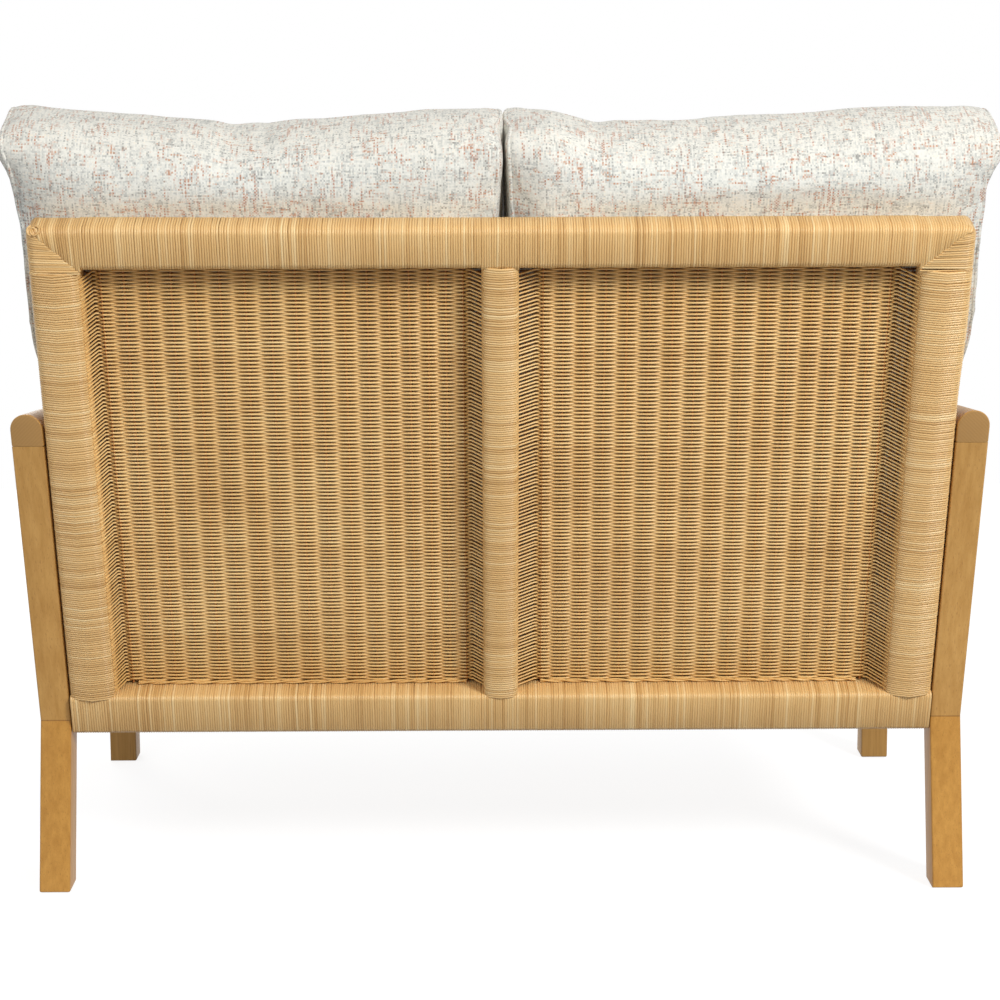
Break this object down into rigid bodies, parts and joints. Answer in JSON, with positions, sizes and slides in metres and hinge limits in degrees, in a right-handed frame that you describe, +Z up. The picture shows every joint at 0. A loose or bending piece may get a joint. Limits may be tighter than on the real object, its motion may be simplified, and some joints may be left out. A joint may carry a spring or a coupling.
{
  "type": "rattan garden sofa",
  "caption": "Garden sofa with kinked timber side frames, a rattan-wound back with woven panels, a slatted seat and loose tweed seat and back cushions.",
  "frame": {"origin": "on the floor under the middle of the sofa's box", "axes": "+X to the right seen from the front, +Y to the rear, +Z up"},
  "size_m": [1.2, 0.8644, 1.0094],
  "materials": {
    "timber": "clear satin lacquer over a light hardwood",
    "core": "sawn softwood inside the wound members",
    "rattan": "round rattan core wound side by side, natural",
    "weave": "plain weave of round rattan core over stakes, natural",
    "tweed": "cream and grey tweed with blue and rust flecks",
    "steel": "zinc plated",
    "plastic": "dark moulded"
  },
  "bodies": {
    "frame": {"rear_leg_left": "timber", "rear_leg_right": "timber", "front_leg_left": "timber", "front_leg_right": "timber", "armrest_left": "timber", "armrest_right": "timber", "side_rail_left": "timber", "side_rail_right": "timber", "glide_rear_left": "plastic", "glide_rear_right": "plastic", "glide_front_left": "plastic", "glide_front_right": "plastic", "wrap_stile_left": "rattan", "wrap_stile_right": "rattan", "wrap_centre_stile": "rattan", "wrap_top_rail": "rattan", "wrap_bottom_rail": "rattan", "wrap_front_rail": "rattan", "core_stile_left": "core", "core_stile_right": "core", "core_centre_stile": "core", "core_top_rail": "core", "core_bottom_rail": "core", "core_front_rail": "core", "woven_panel_left": "weave", "woven_panel_right": "weave", "back_bolt_left_lower": "steel", "back_bolt_left_upper": "steel", "back_bolt_right_lower": "steel", "back_bolt_right_upper": "steel", "back_spacer_left_lower": "plastic", "back_spacer_left_upper": "plastic", "back_spacer_right_lower": "plastic", "back_spacer_right_upper": "plastic", "rear_seat_rail": "timber", "centre_seat_rail": "timber", "ledger_left": "timber", "ledger_right": "timber", "ledger_screw_left_front": "steel", "ledger_screw_left_rear": "steel", "ledger_screw_right_front": "steel", "ledger_screw_right_rear": "steel", "front_seat_bolt_left": "steel", "front_seat_bolt_right": "steel", "rear_seat_bolt_left": "steel", "rear_seat_bolt_right": "steel", "slat_1": "timber", "slat_2": "timber", "slat_3": "timber", "slat_4": "timber", "slat_5": "timber", "slat_6": "timber", "slat_7": "timber"},
    "left_seat_cushion": {"seat_cushion_left": "tweed"},
    "right_seat_cushion": {"seat_cushion_right": "tweed"},
    "left_back_cushion": {"back_cushion_left": "tweed"},
    "right_back_cushion": {"back_cushion_right": "tweed"}
  },
  "joints": [
    {"name": "seat_cushion_left_off", "type": "slide", "parent": "frame", "child": "left_seat_cushion", "axis": [0, -0.9976, 0.0698], "range_m": [0, 0.62]},
    {"name": "seat_cushion_right_off", "type": "slide", "parent": "frame", "child": "right_seat_cushion", "axis": [0, -0.9976, 0.0698], "range_m": [0, 0.62]},
    {"name": "back_cushion_left_off", "type": "slide", "parent": "frame", "child": "left_back_cushion", "axis": [0, 0.3289, 0.9444], "range_m": [0, 0.55]},
    {"name": "back_cushion_right_off", "type": "slide", "parent": "frame", "child": "right_back_cushion", "axis": [0, 0.3289, 0.9444], "range_m": [0, 0.55]}
  ]
}
